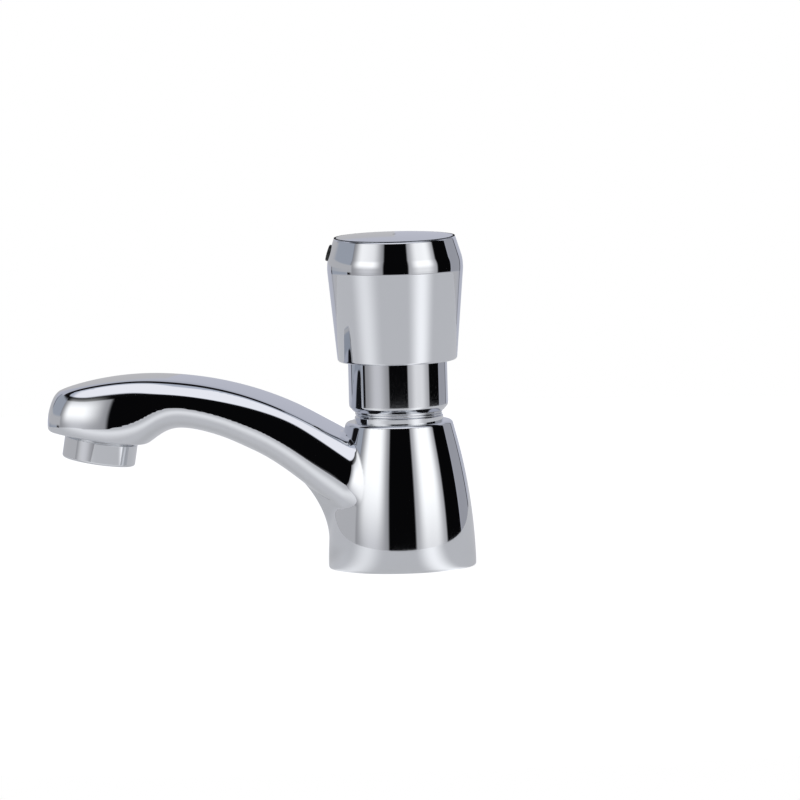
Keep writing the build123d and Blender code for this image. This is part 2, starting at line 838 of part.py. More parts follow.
def aerator_screen():
    """Perforated disc at the aerator's mouth."""
    screen = rod(insert_radius, screen_bottom, insert_bottom)
    foot = screen_bottom - cut_overrun
    top = insert_bottom + cut_overrun
    for hole in hole_rings(screen_hole_radius, screen_hole_spacing, screen_hole_rings, foot, top):
        screen -= hole
    return outlet_frame.location * screen


def aerator_insert():
    """Moulded insert that breaks the stream up."""
    insert = rod(insert_radius, insert_bottom, regulator_bottom)
    foot = insert_bottom - cut_overrun
    top = regulator_bottom + cut_overrun
    for hole in hole_rings(insert_hole_radius, insert_hole_spacing, insert_hole_rings, foot, top):
        insert -= hole
    return outlet_frame.location * insert


def flow_regulator():
    """Disc that limits the flow, with a ring of holes."""
    disc = rod(insert_radius, regulator_bottom, aerator_thread_length)
    hole = rod(regulator_hole_radius, regulator_bottom - cut_overrun, aerator_thread_length + cut_overrun)
    for index in range(regulator_hole_count):
        angle = 360 * index / regulator_hole_count
        disc -= Rot(0, 0, angle) * Pos(regulator_hole_circle, 0, 0) * hole
    return outlet_frame.location * disc


makers = [
    spout_body,
    bonnet_sleeve,
    valve_housing,
    housing_orings,
    stem_oring,
    seat_gasket,
    seat_ring,
    valve_disc_washer,
    valve_disc_holder,
    valve_disc_nut,
    stem,
    piston,
    piston_cup,
    piston_clips,
    guide_bush,
    bush_oring,
    timing_screw,
    return_spring,
    push_cap,
    index_plug,
    cap_set_screw,
    inlet_shank,
    shank_oring,
    inlet_strainer,
    base_gasket,
    deck_rubber_washer,
    deck_steel_washer,
    lock_nut,
    aerator_shell,
    aerator_gasket,
    aerator_screen,
    aerator_insert,
    flow_regulator,
]

os.makedirs("parts", exist_ok=True)
for maker in makers:
    made = maker()
    if isinstance(made, list):
        made = Compound(children=[piece.solids()[0] for piece in made])
    export_step(made, f"parts/{maker.__name__}.step")
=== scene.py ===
# %% [markdown]
# # A push timed tap, dressed over its measured model
#
# The measured model brings every piece of the tap as a plain solid: the cast body, the plunger
# valve inside it, the push cap, the aerator and the deck fixings. This lesson loads that model,
# makes smoother show pieces where light would show facets, and gives every piece its real finish.
# Sizes are in millimetres in the text and in metres in the meshes.

# %% Load the measured model
import json
import math

import bmesh
import bpy
import numpy as np
from mathutils import Matrix, Vector


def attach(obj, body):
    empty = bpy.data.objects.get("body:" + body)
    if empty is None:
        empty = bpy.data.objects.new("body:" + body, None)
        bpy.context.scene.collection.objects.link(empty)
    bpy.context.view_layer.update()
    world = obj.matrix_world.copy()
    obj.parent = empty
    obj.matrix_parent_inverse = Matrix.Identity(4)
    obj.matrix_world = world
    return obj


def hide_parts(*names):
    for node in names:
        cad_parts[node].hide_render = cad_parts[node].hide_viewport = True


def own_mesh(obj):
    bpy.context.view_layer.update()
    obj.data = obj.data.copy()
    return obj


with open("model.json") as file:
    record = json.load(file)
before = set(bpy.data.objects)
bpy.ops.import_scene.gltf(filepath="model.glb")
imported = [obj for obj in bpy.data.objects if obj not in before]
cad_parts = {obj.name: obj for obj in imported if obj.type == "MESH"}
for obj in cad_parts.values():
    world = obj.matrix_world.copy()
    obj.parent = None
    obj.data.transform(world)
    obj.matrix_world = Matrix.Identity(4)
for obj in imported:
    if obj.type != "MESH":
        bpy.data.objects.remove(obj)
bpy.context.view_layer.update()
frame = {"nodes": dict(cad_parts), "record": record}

MM = 0.001
nodes = frame["nodes"]

# %% [markdown]
# ## The camera
#
# A product photograph is taken from far away with a long lens, so its lines hardly converge. The
# camera stands five metres off, a little above the tap and turned a few degrees about it. The
# object leans slightly in the picture, so the camera is rolled by the same small angle.

# %% Camera at the photograph's angle
YAW, ELEVATION, ROLL = (math.radians(angle) for angle in (7.0, 5.8, 1.48))
CAMERA_DISTANCE = 5.0
FRAME_WIDTH = 0.2768
SENSOR_WIDTH = 36.0

AIM_ALONG, AIM_UP = 0.52 * MM, 57.38 * MM
level = Vector((math.cos(YAW), math.sin(YAW), 0.0))
behind = Vector((-math.sin(YAW), math.cos(YAW), 0.0))
plumb = Vector((0.0, 0.0, 1.0))
rise = math.sin(ELEVATION) * behind + math.cos(ELEVATION) * plumb
forward = math.cos(ELEVATION) * behind - math.sin(ELEVATION) * plumb
aim = AIM_ALONG * level + AIM_UP * rise
right = math.cos(ROLL) * level - math.sin(ROLL) * rise
up = math.sin(ROLL) * level + math.cos(ROLL) * rise

camera = bpy.data.objects.new("camera", bpy.data.cameras.new("camera"))
bpy.context.scene.collection.objects.link(camera)
camera.data.sensor_width = SENSOR_WIDTH
camera.data.lens = SENSOR_WIDTH * CAMERA_DISTANCE / FRAME_WIDTH
camera.data.clip_end = 100.0
turn = Matrix((right, up, -forward)).transposed().to_4x4()
camera.matrix_world = Matrix.Translation(aim - forward * CAMERA_DISTANCE) @ turn
bpy.context.scene.camera = camera
bpy.context.scene.view_settings.view_transform = "Standard"
print("lens in mm:", round(camera.data.lens, 1))

# %% [markdown]
# ## Colours and nodes
#
# Colours are written as screen hex values, which are easy to compare with a photograph, and one
# function turns them to the linear values that a renderer works in. One more small function adds a
# node with its settings and links, so the materials below read as lists.

# %% Colour and node helpers
def linear(code, alpha=1.0):
    """Screen hex colour to linear RGBA."""
    parts = [int(code[i : i + 2], 16) / 255 for i in (1, 3, 5)]
    return [c / 12.92 if c <= 0.04045 else ((c + 0.055) / 1.055) ** 2.4 for c in parts] + [alpha]


def add(tree, kind, inputs=None, **settings):
    """Add a node. A value in inputs is either a number or the output that feeds the socket."""
    node = tree.nodes.new(kind)
    for key, value in settings.items():
        setattr(node, key, value)
    for key, value in (inputs or {}).items():
        if isinstance(value, bpy.types.NodeSocket):
            tree.links.new(value, node.inputs[key])
        else:
            node.inputs[key].default_value = value
    return node


print("mid grey is", [round(c, 3) for c in linear("#808080")[:3]])

# %% [markdown]
# ## The studio
#
# Chrome has no colour of its own. What is seen on it is the room, so the room is the real material
# here. A studio for chrome has two tall softboxes left and right of the camera, black cloth between
# and beyond them, a bright ceiling panel in front, dark above and a pale grey floor. They could be
# lamps and planes, but a world background painted by direction gives the same reflections without
# noise. Directions are angles in degrees: across from the camera to its right, height up from the
# horizon, and arch over the top from front to back. Each panel below is bounded by two of these,
# each with its two limits and the softness of its edges, and a later panel covers an earlier one.

# %% World painted by direction
ROOM_LEVEL = 1.35
world = bpy.data.worlds.new("studio")
bpy.context.scene.world = world
world.use_nodes = True
tree = world.node_tree
tree.nodes.clear()
direction = add(tree, "ShaderNodeTexCoord").outputs["Generated"]
facing = add(
    tree, "ShaderNodeVectorRotate", {"Vector": direction, "Angle": math.pi / 2 - YAW}, rotation_type="Z_AXIS"
).outputs[0]
axis = add(tree, "ShaderNodeSeparateXYZ", {0: facing}).outputs
across = add(tree, "ShaderNodeMath", {0: axis[1], 1: axis[0]}, operation="ARCTAN2").outputs[0]
across = add(tree, "ShaderNodeMath", {0: across}, operation="DEGREES").outputs[0]
height = add(tree, "ShaderNodeMath", {0: axis[2]}, operation="ARCSINE").outputs[0]
height = add(tree, "ShaderNodeMath", {0: height}, operation="DEGREES").outputs[0]
arch = add(tree, "ShaderNodeMath", {0: axis[2], 1: axis[0]}, operation="ARCTAN2").outputs[0]
arch = add(tree, "ShaderNodeMath", {0: arch}, operation="DEGREES").outputs[0]

shade = add(tree, "ShaderNodeRGB")
shade.outputs[0].default_value = linear("#A6A8B3")
shade = shade.outputs[0]
panels = [
    ("dark over the top", arch, (82, 118), 3, height, (30, 95), 2, "#141416"),
    ("bright ceiling panel", arch, (-5, 82), 2, height, (35, 95), 1, "#A6ABB8"),
    ("its brighter middle", arch, (-5, 66), 8, height, (35, 62), 2, "#E2E2E8"),
    ("black strip under it", height, (28, 35), 1, across, (-100, 104), 2, "#0A0A0B"),
    ("black cloth", height, (-9, 31), 1, across, (-90, 110), 1, "#060607"),
    ("left softbox", height, (-9, 29), 1, across, (-83, -21), 2, "#8A8A8D"),
    ("its paler middle", height, (-9, 29), 1, across, (-66, -34), 14, "#B9B9BD"),
    ("its bright part", height, (5, 27), 9, across, (-72, -32), 10, "#FFFFFF"),
    ("right softbox", height, (-9, 29), 1, across, (23, 77), 2, "#A0A0A3"),
    ("its paler middle", height, (-9, 29), 1, across, (34, 66), 10, "#D2D2D4"),
    ("its bright part", height, (3, 27), 9, across, (34, 67), 9, "#FFFFFF"),
    ("grey wall right", height, (-9, 30), 2, across, (111, 144), 1.5, "#8F9097"),
    ("grey wall left", height, (-9, 30), 2, across, (-136, -91), 1.5, "#90959F"),
    ("its upper part", height, (6, 30), 3, across, (-130, -83), 1.5, "#90959F"),
    ("seam left", height, (-9, 30), 2, across, (-140, -136), 1, "#1A1A1C"),
    ("seam right", height, (-9, 30), 2, across, (143, 146), 1, "#1A1A1C"),
    ("pale board low left", height, (-3, 9), 2, across, (-182, -80), 2, "#A6A6A9"),
    ("floor", height, (-95, -9), 1, across, (-200, 200), 1, "#A6A6A9"),
]
for name, first, (low, high), soft, second, (left, far), edge, colour in panels:
    mask = None
    for value, limits, blur in ((first, (low, high), soft), (second, (left, far), edge)):
        for limit, ends in zip(limits, ((0.0, 1.0), (1.0, 0.0))):
            ramp = add(
                tree,
                "ShaderNodeMapRange",
                {"Value": value, 1: limit - blur, 2: limit + blur, 3: ends[0], 4: ends[1]},
                interpolation_type="SMOOTHSTEP",
            ).outputs[0]
            mask = ramp if mask is None else add(
                tree, "ShaderNodeMath", {0: mask, 1: ramp}, operation="MULTIPLY"
            ).outputs[0]
    shade = add(
        tree, "ShaderNodeMix", {0: mask, 6: shade, 7: linear(colour)}, data_type="RGBA", label=name
    ).outputs[2]
seen = add(tree, "ShaderNodeLightPath").outputs["Is Camera Ray"]
white = add(tree, "ShaderNodeMix", {0: seen, 6: shade, 7: linear("#FFFFFF")}, data_type="RGBA").outputs[2]
brightness = add(tree, "ShaderNodeMix", {0: seen, 2: ROOM_LEVEL, 3: 1.0}).outputs[0]
background = add(tree, "ShaderNodeBackground", {"Color": white, "Strength": brightness})
add(tree, "ShaderNodeOutputWorld", {"Surface": background.outputs[0]})
print("studio panels:", len(panels))

# %% [markdown]
# The floor is a pale sheet. The camera sees it almost white, as in the photograph, with only a
# trace of the contact shadow, while the chrome mirrors it as light grey. In front of each softbox
# the paper carries a painted pool of light: its glow rises by bearing, and no lamp's light falls
# there to make it. A painted pool is given by its bearing, its reach to both sides and its gain.

# %% Floor
FLOOR_RADIUS, FLOOR_SIDES, FLOOR_DROP = 0.56, 96, 0.1 * MM
PAPER_SEEN, PAPER_MIRRORED, PAPER_DIMMED = 0.88, 0.38, 0.4
# Painted pools of light on the floor: bearing in degrees, reach to both sides and gain of glow.
PAINTED_LIGHT_POOLS = ((-55.0, 30.0, 0.34), (45.0, 27.0, 0.55))
floor_mesh = bpy.data.meshes.new("floor")
corners = [(FLOOR_RADIUS * math.cos(a), FLOOR_RADIUS * math.sin(a), -FLOOR_DROP)
           for a in np.linspace(0, 2 * math.pi, FLOOR_SIDES, endpoint=False)]
floor_mesh.from_pydata(corners, [], [list(range(FLOOR_SIDES))])
floor = bpy.data.objects.new("floor", floor_mesh)
bpy.context.scene.collection.objects.link(floor)
paper = bpy.data.materials.new("white_paper_sweep")
paper.use_nodes = True
tree = paper.node_tree
tree.nodes.clear()
seen = add(tree, "ShaderNodeLightPath").outputs["Is Camera Ray"]
matte = add(tree, "ShaderNodeBsdfDiffuse", {"Color": linear("#E6E6E8")}).outputs[0]
black = add(tree, "ShaderNodeBsdfDiffuse", {"Color": linear("#000000")}).outputs[0]
spot = add(tree, "ShaderNodeTexCoord").outputs["Object"]
spot = add(
    tree, "ShaderNodeVectorRotate", {"Vector": spot, "Angle": math.pi / 2 - YAW}, rotation_type="Z_AXIS"
).outputs[0]
spot = add(tree, "ShaderNodeSeparateXYZ", {0: spot}).outputs
bearing = add(tree, "ShaderNodeMath", {0: spot[1], 1: spot[0]}, operation="ARCTAN2").outputs[0]
bearing = add(tree, "ShaderNodeMath", {0: bearing}, operation="DEGREES").outputs[0]
glow = add(tree, "ShaderNodeValue")
glow.outputs[0].default_value = PAPER_MIRRORED
glow = glow.outputs[0]
# Painted pools of light: the paper's glow is raised towards each softbox's bearing.
for middle, reach, gain in PAINTED_LIGHT_POOLS:
    away = add(tree, "ShaderNodeMath", {0: bearing, 1: middle}, operation="SUBTRACT").outputs[0]
    away = add(tree, "ShaderNodeMath", {0: away}, operation="ABSOLUTE").outputs[0]
    painted_pool = add(tree, "ShaderNodeMapRange", {"Value": away, 1: 0.0, 2: reach, 3: gain, 4: 0.0},
               interpolation_type="SMOOTHSTEP").outputs[0]
    glow = add(tree, "ShaderNodeMath", {0: glow, 1: painted_pool}, operation="ADD").outputs[0]
glow = add(tree, "ShaderNodeMix", {0: seen, 2: glow, 3: PAPER_SEEN}).outputs[0]
glow = add(tree, "ShaderNodeEmission", {"Color": linear("#FFFFFF"), "Strength": glow}).outputs[0]
dimmed = add(tree, "ShaderNodeMixShader", {0: PAPER_DIMMED, 1: matte, 2: black}).outputs[0]
both = add(tree, "ShaderNodeAddShader", {0: dimmed, 1: glow}).outputs[0]
add(tree, "ShaderNodeOutputMaterial", {"Surface": both})
floor_mesh.materials.append(paper)
print("floor radius in m:", FLOOR_RADIUS)

# %% [markdown]
# ## The cast body
#
# The real body is one brass casting, polished until the arm runs into the bell without a line.
# Subdivision surfaces could make it, but the soft junction would need many hand-placed loops. A
# distance field states the same shape as a rule: a turned bell, an arm with a flat lid, round
# flanks and a curved belly, and a blend that is tight above and wide below. The surface is read
# out of the field on a fine grid and each point is then moved onto it exactly, with the field's
# own slope as its normal, so the mirror finish shows no facets.

# %% Rounded joins of fields
TINY = 1e-6


def round_max(a, b, radius):
    """Where both fields are inside, with a rounded edge."""
    outer = np.hypot(np.maximum(a + radius, 0), np.maximum(b + radius, 0))
    return np.minimum(np.maximum(a, b), -radius) + outer


def round_min(a, b, radius):
    """Where either field is inside, with a concave fillet."""
    inner = np.hypot(np.maximum(radius - a, 0), np.maximum(radius - b, 0))
    return np.maximum(np.minimum(a, b), radius) - inner


def smooth_step(value, low, high):
    """0 below low, 1 above high, smooth between."""
    t = np.clip((value - low) / (high - low), 0, 1)
    return t * t * (3 - 2 * t)


def spline(points):
    """Natural cubic spline through (place, value) points, straight beyond its ends."""
    x, y = np.array(points, float).T
    h = np.diff(x)
    n = len(x)
    system = np.eye(n)
    load = np.zeros(n)
    for i in range(1, n - 1):
        system[i, i - 1 : i + 2] = h[i - 1], 2 * (h[i - 1] + h[i]), h[i]
        load[i] = 6 * ((y[i + 1] - y[i]) / h[i] - (y[i] - y[i - 1]) / h[i - 1])
    bend = np.linalg.solve(system, load)

    def value(place):
        i = np.clip(np.searchsorted(x, place) - 1, 0, n - 2)
        a, b = x[i + 1] - place, place - x[i]
        out = (bend[i] * a**3 + bend[i + 1] * b**3) / (6 * h[i])
        out += (y[i] / h[i] - bend[i] * h[i] / 6) * a + (y[i + 1] / h[i] - bend[i + 1] * h[i] / 6) * b
        slope_low = (y[1] - y[0]) / h[0] - h[0] * bend[1] / 6
        slope_high = (y[-1] - y[-2]) / h[-1] + h[-1] * bend[-2] / 6
        out = np.where(place < x[0], y[0] + slope_low * (place - x[0]), out)
        return np.where(place > x[-1], y[-1] + slope_high * (place - x[-1]), out)

    return value


print("a 3 mm fillet where two walls meet:", round(float(round_min(np.array(0.0), np.array(0.0), 3.0)), 2))

# %% [markdown]
# The bell is turned: a long arc that leaves the foot almost upright and a short cone that leads up
# to the neck. The arc and the cone share a tangent.

# %% Bell field
BASE_RADIUS, ARC_FOOT = 25.5, -1.0
FLANK_ARC, FLANK_LEAN = 188.0, math.radians(14.1)
BELL_TOP, BELL_TOP_EDGE, BELL_FOOT_EDGE = 50.6, 1.1, 0.8
arc_end_r = BASE_RADIUS - FLANK_ARC * (1 - math.cos(FLANK_LEAN))
arc_end_z = ARC_FOOT + FLANK_ARC * math.sin(FLANK_LEAN)


def bell_field(r, z):
    arc = np.hypot(r - (BASE_RADIUS - FLANK_ARC), z - ARC_FOOT) - FLANK_ARC
    cone = (r - arc_end_r) * math.cos(FLANK_LEAN) + (z - arc_end_z) * math.sin(FLANK_LEAN)
    side = np.where(z < arc_end_z, arc, cone)
    return round_max(round_max(side, z - BELL_TOP, BELL_TOP_EDGE), -z, BELL_FOOT_EDGE)


print("bell radius at its top:", round(arc_end_r - (BELL_TOP - arc_end_z) * math.tan(FLANK_LEAN), 2))

# %% [markdown]
# The arm is described along its reach from the body's axis. The lid follows one arc over the
# middle and runs straight down to the bell. At each reach the flanks are an ellipse, fuller above
# the widest height than below it, and the lid cuts its top off. The nose is a short arc in side
# view, the head narrows to it like a spoon in plan, and the outlet face cuts the head from below at
# a slight tilt. The tables give, at each reach, the belly's height and the half width in
# millimetres, and the lid's width and the widest height as shares.

# %% Arm field
LID_TOP_REACH, LID_TOP, LID_SLOPE = 87.0, 67.3, 0.55
LID_ARC_BACK, LID_ARC_FRONT, LID_RUN_ON = 116.0, 106.0, 60.0
LID_CROWN, LID_CROWN_HALF, LID_EDGE = 0.3, 14.0, 1.2
lid_run = LID_ARC_BACK * LID_SLOPE / math.hypot(1, LID_SLOPE)
belly = spline([
    (12, 15), (20, 20.0), (26, 24.0), (30, 27.0), (36, 31.8), (40, 34.8), (46, 38.75), (53, 42.35),
    (60, 45.5), (67, 47.8), (74, 49.15), (79.5, 48.7), (84, 46.4), (88.5, 43.3), (94, 41.0), (104, 39.6),
    (114, 40.2), (127, 42.5),
])
half_width = spline([
    (9, 19.0), (16, 18.8), (23, 18.3), (30, 17.8), (38, 17.3), (46, 16.9), (60, 16.4), (74, 16.2),
    (84, 16.6), (92, 17.2), (98, 17.5), (104, 17.5), (127, 17.5),
])
lid_share = spline([
    (9, 0.70), (20, 0.76), (28, 0.79), (36, 0.81), (46, 0.805), (60, 0.776), (74, 0.760), (84, 0.768),
    (94, 0.765), (100, 0.765), (106, 0.79), (111.4, 0.84), (116, 0.87), (126, 0.88),
])
widest_share = spline([
    (9, 0.40), (20, 0.44), (30, 0.46), (40, 0.47), (50, 0.47), (70, 0.47), (80, 0.46), (88, 0.42),
    (94, 0.40), (100, 0.40), (106, 0.42), (112, 0.45), (118, 0.46), (127, 0.47),
])
OUTLET_REACH, OUTLET_HEIGHT, OUTLET_TILT, OUTLET_EDGE = 103.9, 46.1, math.radians(9.5), 1.1
HEEL_REACH, HEEL_SLOPE = 84.0, 1.3
NOSE_ARC, NOSE_CENTRE, NOSE_CORNER = 21.8, (101.4, 51.0), 3.5
HEAD_START, HEAD_POWER = 94.0, 2.5
NOSE_TURN, NOSE_TURN_FROM, NOSE_TURN_TO = 2.0, 114.0, 121.0
ROOT_REACH, ROOT_HEIGHT, ROOT_SLANT = 6.0, 30.0, 0.6
ARC_SHARE, HEAD_SHARE, LID_FIELD_SHARE = 0.93, 0.985, 0.96


def lid_height(reach):
    """Side view of the lid."""
    over = reach - LID_TOP_REACH
    arc = np.where(over < 0, LID_ARC_BACK, LID_ARC_FRONT)
    drop = arc - np.sqrt(arc**2 - np.clip(over, -lid_run, LID_RUN_ON) ** 2)
    return LID_TOP - drop + LID_SLOPE * np.minimum(over + lid_run, 0)


def arm_field(x, y, z):
    reach = -x
    lid = lid_height(reach)
    low = belly(reach)
    wide = half_width(reach)
    waist = low + widest_share(reach) * (lid - low)
    above = (lid - waist) / np.sqrt(1 - lid_share(reach) ** 2)
    rise_half = np.where(z > waist, above, waist - low)
    lift = np.clip(z - NOSE_CENTRE[1], -ARC_SHARE * NOSE_ARC, ARC_SHARE * NOSE_ARC)
    bulge = np.sqrt(NOSE_ARC**2 - lift**2)
    tip = NOSE_CENTRE[0] + bulge
    head = np.clip((reach - HEAD_START) / (tip - HEAD_START), 0, HEAD_SHARE)
    taper = (1 - head**HEAD_POWER) ** (1 / HEAD_POWER)
    lean = wide / (tip - HEAD_START) * head ** (HEAD_POWER - 1) * taper ** (1 - HEAD_POWER)
    across_share, rise_share = (np.abs(y) + wide * (1 - taper)) / wide, (z - waist) / rise_half
    size = np.hypot(across_share, rise_share)
    side = (size - 1) * size / np.maximum(np.hypot(across_share / wide, rise_share / rise_half), TINY)
    side = side / np.sqrt(1 + lean**2)
    top = (z - lid + LID_CROWN * (y / LID_CROWN_HALF) ** 2) * LID_FIELD_SHARE
    nose = (reach - tip) * bulge / NOSE_ARC
    hull = round_max(side, nose, NOSE_CORNER)
    turn_radius = LID_EDGE + (NOSE_TURN - LID_EDGE) * smooth_step(reach, NOSE_TURN_FROM, NOSE_TURN_TO)
    hull = round_max(hull, top, turn_radius)
    outlet = OUTLET_HEIGHT + (reach - OUTLET_REACH) * math.tan(OUTLET_TILT)
    outlet = outlet + HEEL_SLOPE * np.minimum(reach - HEEL_REACH, 0)
    hull = round_max(hull, (outlet - z) * math.cos(OUTLET_TILT), OUTLET_EDGE)
    return np.maximum(hull, ROOT_REACH + ROOT_SLANT * np.maximum(ROOT_HEIGHT - z, 0) - reach)


sampled = [round(float(lid_height(reach)), 1) for reach in (27.0, 86.0, 118.0)]
print("lid height over the root, middle and nose:", sampled)

# %% [markdown]
# Inside, the casting is bored for the valve, the inlet tube and the water's way along the arm, and
# the outlet has a socket for the aerator. The bores are taken away from the blended outside.

# %% Whole casting
BLEND_SIDE, BLEND_BELOW = 2.0, 14.0
BLEND_ROOT, BLEND_START, BLEND_FULL = 37.0, math.radians(50), math.radians(88)
CHAMBER_RADIUS, CHAMBER_FLOOR = 12.2, 24.0
WATER_RADIUS, WATER_FLOOR, WATER_ROOF = 9.2, 9.0, 25.0
SHANK_BORE_RADIUS, SHANK_BORE_ROOF = 10.45, 10.0
RECESS_RADIUS, RECESS_ROOF = 22.0, 2.5
SOCKET_RADIUS, SOCKET_DEPTH = 11.8, 6.5
MOUTH_RADIUS, MOUTH_DEPTH = 8.4, 11.1
PASSAGE_RADIUS, PASSAGE_START, PASSAGE_END, PASSAGE_LEAN = 4.8, 11.0, 102.0, 0.95
water_line = spline([(11, 35), (51.2, 50.8), (77, 57.9), (102, 57.9)])


def casting_field(x, y, z):
    r = np.hypot(x, y)
    below = smooth_step(np.arctan2(BLEND_ROOT - z, np.abs(y) + TINY), BLEND_START, BLEND_FULL)
    blend = BLEND_SIDE + (BLEND_BELOW - BLEND_SIDE) * below
    solid = round_min(bell_field(r, z), arm_field(x, y, z), blend)
    bores = [
        np.maximum(r - CHAMBER_RADIUS, CHAMBER_FLOOR - z),
        np.maximum(r - WATER_RADIUS, np.maximum(WATER_FLOOR - z, z - WATER_ROOF)),
        np.maximum(r - SHANK_BORE_RADIUS, z - SHANK_BORE_ROOF),
        np.maximum(r - RECESS_RADIUS, z - RECESS_ROOF),
    ]
    along = (x + OUTLET_REACH) * math.cos(OUTLET_TILT) - (z - OUTLET_HEIGHT) * math.sin(OUTLET_TILT)
    depth = (x + OUTLET_REACH) * math.sin(OUTLET_TILT) + (z - OUTLET_HEIGHT) * math.cos(OUTLET_TILT)
    spread = np.hypot(along, y)
    bores.append(np.maximum(spread - SOCKET_RADIUS, depth - SOCKET_DEPTH))
    bores.append(np.maximum(spread - MOUTH_RADIUS, depth - MOUTH_DEPTH))
    passage = np.hypot(y, (z - water_line(-x)) * PASSAGE_LEAN) - PASSAGE_RADIUS
    bores.append(np.maximum(passage, np.maximum(PASSAGE_START + x, -x - PASSAGE_END)))
    for bore in bores:
        solid = np.maximum(solid, -bore)
    return solid


inside_flank = np.array([[18.5], [0.0], [12.0]])
print("field inside the bell's flank:", round(float(casting_field(*inside_flank)[0]), 2))


# %% [markdown]
# Surface nets turn the field into quads: each grid cell that the surface crosses gets one point,
# and each grid edge that it crosses gets one face between the four cells around it.

# %% Surface out of a field
def surface_net(field, low, high, cell):
    """Points and outward quads of the surface where the field is zero."""
    axes = [np.arange(a, b + cell, cell) for a, b in zip(low, high)]
    grid = np.meshgrid(*axes, indexing="ij")
    value = field(*grid)
    shape = np.array(value.shape) - 1
    total, count = np.zeros((*shape, 3)), np.zeros(shape)
    steps = [(i, j, k) for i in (0, 1) for j in (0, 1) for k in (0, 1)]
    cut = lambda corner: tuple(slice(c, s + c) for c, s in zip(corner, shape))
    for start in steps:
        for axis_number in range(3):
            if start[axis_number]:
                continue
            end = tuple(c + (n == axis_number) for n, c in enumerate(start))
            a, b = value[cut(start)], value[cut(end)]
            crossed = (a < 0) != (b < 0)
            share = np.where(crossed, a / np.where(crossed, a - b, 1), 0)
            for n in range(3):
                total[..., n] += np.where(crossed, start[n] + (share if n == axis_number else 0), 0)
            count += crossed
    used = count > 0
    number = np.full(shape, -1)
    number[used] = np.arange(used.sum())
    place = np.argwhere(used) + total[used] / count[used][:, None]
    points = np.array(low) + place * cell
    quads = []
    for axis_number in range(3):
        u, v = (axis_number + 1) % 3, (axis_number + 2) % 3
        a = np.moveaxis(value, (axis_number, u, v), (0, 1, 2))
        cells = np.moveaxis(number, (axis_number, u, v), (0, 1, 2))
        first, second = a[:-1, 1:-1, 1:-1], a[1:, 1:-1, 1:-1]
        ring = [cells[:, :-1, :-1], cells[:, 1:, :-1], cells[:, 1:, 1:], cells[:, :-1, 1:]]
        leaving = (first < 0) & (second >= 0)
        entering = (first >= 0) & (second < 0)
        quads.append(np.stack([c[leaving] for c in ring], 1))
        quads.append(np.stack([c[entering] for c in ring[::-1]], 1))
    return points, np.concatenate(quads)


SLOPE_STEP, SETTLE_ROUNDS, SETTLE_REACH = 0.02, 6, 0.4


def slope_of(field, points):
    """Slope of the field at the points, by differences."""
    out = np.zeros_like(points)
    for n in range(3):
        shift = np.zeros(3)
        shift[n] = SLOPE_STEP
        out[:, n] = (field(*(points + shift).T) - field(*(points - shift).T)) / (2 * SLOPE_STEP)
    return out


def settled(field, points):
    """The points moved onto the surface, with their unit normals."""
    for _ in range(SETTLE_ROUNDS):
        slope = slope_of(field, points)
        size = np.maximum((slope**2).sum(1), TINY)
        move = -slope * (field(*points.T) / size)[:, None]
        length = np.linalg.norm(move, axis=1)
        points = points + move * np.minimum(1, SETTLE_REACH / np.maximum(length, TINY))[:, None]
    slope = slope_of(field, points)
    return points, slope / np.linalg.norm(slope, axis=1)[:, None]


def mesh_piece(name, points, faces, normals=None):
    """Object from points in mm, smooth shaded."""
    mesh = bpy.data.meshes.new(name)
    mesh.from_pydata([tuple(p) for p in np.asarray(points) * MM], [], [list(map(int, f)) for f in faces])
    mesh.shade_smooth()
    if normals is not None:
        mesh.normals_split_custom_set_from_vertices([tuple(n) for n in normals])
    piece = bpy.data.objects.new(name, mesh)
    bpy.context.scene.collection.objects.link(piece)
    print(name, "faces:", len(mesh.polygons), "closed:", is_closed(mesh))
    return piece


def is_closed(mesh):
    """True where every edge has exactly two faces."""
    used = np.zeros(len(mesh.edges), int)
    edges = np.zeros(len(mesh.loops), np.int32)
    mesh.loops.foreach_get("edge_index", edges)
    np.add.at(used, edges, 1)
    return bool((used == 2).all())


print("helpers ready")

# %% [markdown]
# A mirror shows the narrow edges of the lid and the outlet more sharply than the even grid can
# carry. Edges of the mesh whose two ends face different ways are halved, twice, and the new points
# are settled on the surface too. Broad calm areas keep the coarse grid.

# %% Cast body piece
CELL = 0.7
LEAST_BEND, MOST_BEND, PASSES = math.radians(9), math.radians(60), 2
INNER_RADIUS, NECK_LEVEL = 13.5, 49.0
NET_LOW, NET_HIGH = (-125.5, -28.0, -1.5), (28.0, 28.0, 70.0)


def refined(field, points, faces):
    """Points, faces and normals with the strongly curved places of the outside halved."""
    points, normals = settled(field, points)
    for _ in range(PASSES):
        work = bmesh.new()
        spots = [work.verts.new(p) for p in points]
        for face in faces:
            work.faces.new([spots[i] for i in face])
        work.edges.ensure_lookup_table()
        work.verts.index_update()
        ends = np.array([(e.verts[0].index, e.verts[1].index) for e in work.edges])
        bend = np.arccos(np.clip((normals[ends[:, 0]] * normals[ends[:, 1]]).sum(1), -1, 1))
        r = np.hypot(points[:, 0], points[:, 1])
        outside = (r > INNER_RADIUS) | (points[:, 2] > NECK_LEVEL)
        pick = (bend > LEAST_BEND) & (bend < MOST_BEND) & outside[ends[:, 0]] & outside[ends[:, 1]]
        chosen = [work.edges[i] for i in np.flatnonzero(pick)]
        bmesh.ops.subdivide_edges(work, edges=chosen, cuts=1, use_grid_fill=True)
        bmesh.ops.triangulate(work, faces=[f for f in work.faces if len(f.verts) > 4])
        work.verts.index_update()
        points = np.array([v.co[:] for v in work.verts])
        faces = [[v.index for v in f.verts] for f in work.faces]
        work.free()
        points, normals = settled(field, points)
    return points, faces, normals


net_points, net_faces = surface_net(casting_field, NET_LOW, NET_HIGH, CELL)
print("grid points:", len(net_points))
net_points, net_faces, net_normals = refined(casting_field, net_points, net_faces.tolist())
casting = mesh_piece("polished_casting", net_points, net_faces, net_normals)
print("triangles:", sum(len(face) - 2 for face in net_faces))

